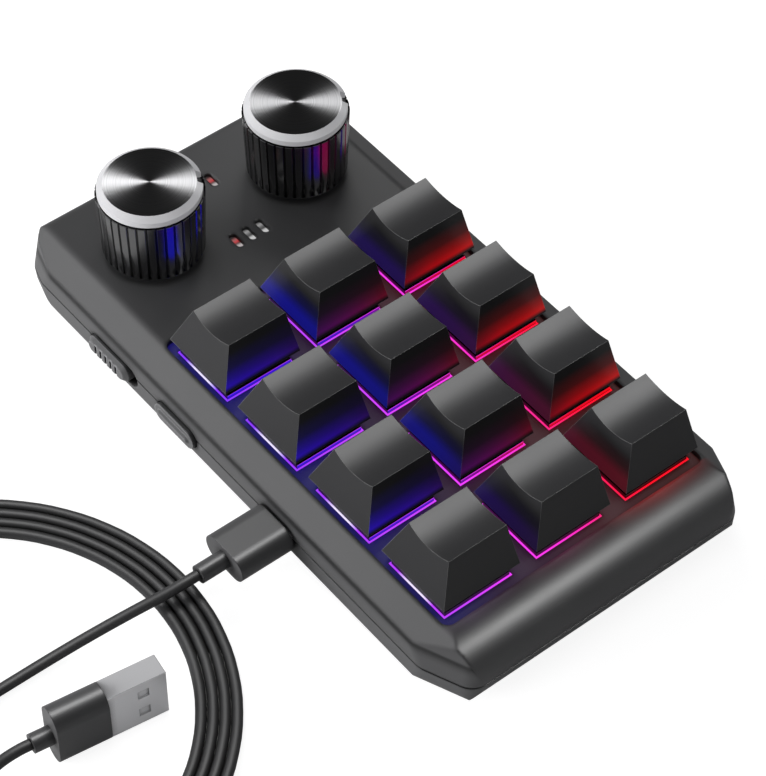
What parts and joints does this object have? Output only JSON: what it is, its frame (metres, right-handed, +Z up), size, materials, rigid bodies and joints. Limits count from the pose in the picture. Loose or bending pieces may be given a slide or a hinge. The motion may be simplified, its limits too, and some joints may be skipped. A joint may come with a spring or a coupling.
{
  "type": "macro keypad",
  "caption": "Desk macro keypad with dished keys on backlit key switches, clickable turning knobs, a mode slider, a side button and a plugged-in coiled USB lead.",
  "frame": {"origin": "on the table plane, under the centre of the case without its lead", "axes": "+X across the case away from the side with the slider and the USB port, +Y along the case from the rounded front edge to the knobs, +Z up"},
  "size_m": [0.1946, 0.1382, 0.0355],
  "materials": {
    "case_plastic": "fine-textured dark grey ABS, matte",
    "lower_case_plastic": "fine-textured dark grey ABS, matte",
    "keycap_plastic": "fine-textured black ABS, satin",
    "lit_plastic": "translucent diffusing plastic, lit magenta to red",
    "switch_housing_plastic": "moulded black nylon",
    "stem_plastic": "moulded red acetal",
    "spring_steel": "drawn spring wire",
    "circuit_laminate": "green solder mask on glass epoxy",
    "led_white": "white moulded LED packages and light guides",
    "stamped_steel": "stamped plated steel",
    "switch_plastic": "moulded black plastic",
    "shaft_metal": "turned steel",
    "knob_plastic": "glossy black moulded grip with narrow grooves",
    "knob_cap_aluminium": "spun-brushed face with a diamond-cut chamfer",
    "control_plastic": "fine-textured dark grey ABS, matte",
    "battery_film": "silver pouch film",
    "screw_steel": "plated steel screws",
    "foot_rubber": "moulded rubber",
    "plug_plastic": "moulded dark grey grip",
    "lead_jacket": "extruded soft jacket, satin"
  },
  "bodies": {
    "root": {"top_case": "case_plastic", "bottom_case": "lower_case_plastic", "light_plate": "lit_plastic", "switch_lower_housings": "switch_housing_plastic", "switch_upper_housings": "switch_housing_plastic", "key_springs": "spring_steel", "circuit_board": "circuit_laminate", "key_leds": "led_white", "indicator_guides": "led_white", "left_encoder_body": "stamped_steel", "right_encoder_body": "stamped_steel", "mode_switch_body": "stamped_steel", "button_switch_body": "switch_plastic", "usb_socket": "stamped_steel", "battery": "battery_film", "case_screws": "screw_steel", "rubber_feet": "foot_rubber", "usb_c_plug": "plug_plastic", "usb_c_shell": "stamped_steel", "lead_run": "lead_jacket", "lead_coil": "lead_jacket", "lead_tail": "lead_jacket", "usb_a_plug": "plug_plastic", "usb_a_shell": "stamped_steel"},
    "key_1": {"keycap_1": "keycap_plastic", "stem_1": "stem_plastic"},
    "key_2": {"keycap_2": "keycap_plastic", "stem_2": "stem_plastic"},
    "key_3": {"keycap_3": "keycap_plastic", "stem_3": "stem_plastic"},
    "key_4": {"keycap_4": "keycap_plastic", "stem_4": "stem_plastic"},
    "key_5": {"keycap_5": "keycap_plastic", "stem_5": "stem_plastic"},
    "key_6": {"keycap_6": "keycap_plastic", "stem_6": "stem_plastic"},
    "key_7": {"keycap_7": "keycap_plastic", "stem_7": "stem_plastic"},
    "key_8": {"keycap_8": "keycap_plastic", "stem_8": "stem_plastic"},
    "key_9": {"keycap_9": "keycap_plastic", "stem_9": "stem_plastic"},
    "key_10": {"keycap_10": "keycap_plastic", "stem_10": "stem_plastic"},
    "key_11": {"keycap_11": "keycap_plastic", "stem_11": "stem_plastic"},
    "key_12": {"keycap_12": "keycap_plastic", "stem_12": "stem_plastic"},
    "left_click": {"left_plunger": "switch_plastic"},
    "left_knob": {"left_shaft": "shaft_metal", "left_knob": "knob_plastic", "left_knob_cap": "knob_cap_aluminium"},
    "right_click": {"right_plunger": "switch_plastic"},
    "right_knob": {"right_shaft": "shaft_metal", "right_knob": "knob_plastic", "right_knob_cap": "knob_cap_aluminium"},
    "mode_slider": {"mode_slider": "control_plastic"},
    "side_button": {"side_button": "control_plastic"}
  },
  "joints": [
    {"name": "key_1_press", "type": "slide", "parent": "root", "child": "key_1", "axis": [0, 0, -1], "range_m": [0, 0.0034], "stiffness_N_per_m": 90, "springref_m": -0.004, "deforming": ["key_springs"]},
    {"name": "key_2_press", "type": "slide", "parent": "root", "child": "key_2", "axis": [0, 0, -1], "range_m": [0, 0.0034], "stiffness_N_per_m": 90, "springref_m": -0.004, "deforming": ["key_springs"]},
    {"name": "key_3_press", "type": "slide", "parent": "root", "child": "key_3", "axis": [0, 0, -1], "range_m": [0, 0.0034], "stiffness_N_per_m": 90, "springref_m": -0.004, "deforming": ["key_springs"]},
    {"name": "key_4_press", "type": "slide", "parent": "root", "child": "key_4", "axis": [0, 0, -1], "range_m": [0, 0.0034], "stiffness_N_per_m": 90, "springref_m": -0.004, "deforming": ["key_springs"]},
    {"name": "key_5_press", "type": "slide", "parent": "root", "child": "key_5", "axis": [0, 0, -1], "range_m": [0, 0.0034], "stiffness_N_per_m": 90, "springref_m": -0.004, "deforming": ["key_springs"]},
    {"name": "key_6_press", "type": "slide", "parent": "root", "child": "key_6", "axis": [0, 0, -1], "range_m": [0, 0.0034], "stiffness_N_per_m": 90, "springref_m": -0.004, "deforming": ["key_springs"]},
    {"name": "key_7_press", "type": "slide", "parent": "root", "child": "key_7", "axis": [0, 0, -1], "range_m": [0, 0.0034], "stiffness_N_per_m": 90, "springref_m": -0.004, "deforming": ["key_springs"]},
    {"name": "key_8_press", "type": "slide", "parent": "root", "child": "key_8", "axis": [0, 0, -1], "range_m": [0, 0.0034], "stiffness_N_per_m": 90, "springref_m": -0.004, "deforming": ["key_springs"]},
    {"name": "key_9_press", "type": "slide", "parent": "root", "child": "key_9", "axis": [0, 0, -1], "range_m": [0, 0.0034], "stiffness_N_per_m": 90, "springref_m": -0.004, "deforming": ["key_springs"]},
    {"name": "key_10_press", "type": "slide", "parent": "root", "child": "key_10", "axis": [0, 0, -1], "range_m": [0, 0.0034], "stiffness_N_per_m": 90, "springref_m": -0.004, "deforming": ["key_springs"]},
    {"name": "key_11_press", "type": "slide", "parent": "root", "child": "key_11", "axis": [0, 0, -1], "range_m": [0, 0.0034], "stiffness_N_per_m": 90, "springref_m": -0.004, "deforming": ["key_springs"]},
    {"name": "key_12_press", "type": "slide", "parent": "root", "child": "key_12", "axis": [0, 0, -1], "range_m": [0, 0.0034], "stiffness_N_per_m": 90, "springref_m": -0.004, "deforming": ["key_springs"]},
    {"name": "left_knob_click", "type": "slide", "parent": "root", "child": "left_click", "axis": [0, 0, -1], "range_m": [0, 0.0005], "stiffness_N_per_m": 4000, "springref_m": -0.0003},
    {"name": "left_knob_turn", "type": "hinge", "parent": "left_click", "child": "left_knob", "pos_m": [-0.018, 0.0489, 0.0265], "axis": [0, 0, 1], "continuous": true},
    {"name": "right_knob_click", "type": "slide", "parent": "root", "child": "right_click", "axis": [0, 0, -1], "range_m": [0, 0.0005], "stiffness_N_per_m": 4000, "springref_m": -0.0003},
    {"name": "right_knob_turn", "type": "hinge", "parent": "right_click", "child": "right_knob", "pos_m": [0.018, 0.0489, 0.0265], "axis": [0, 0, 1], "continuous": true},
    {"name": "mode_slide", "type": "slide", "parent": "root", "child": "mode_slider", "axis": [0, -1, 0], "range_m": [0, 0.002]},
    {"name": "side_button_press", "type": "slide", "parent": "root", "child": "side_button", "axis": [1, 0, 0], "range_m": [0, 0.0005], "stiffness_N_per_m": 1500, "springref_m": -0.0004}
  ]
}
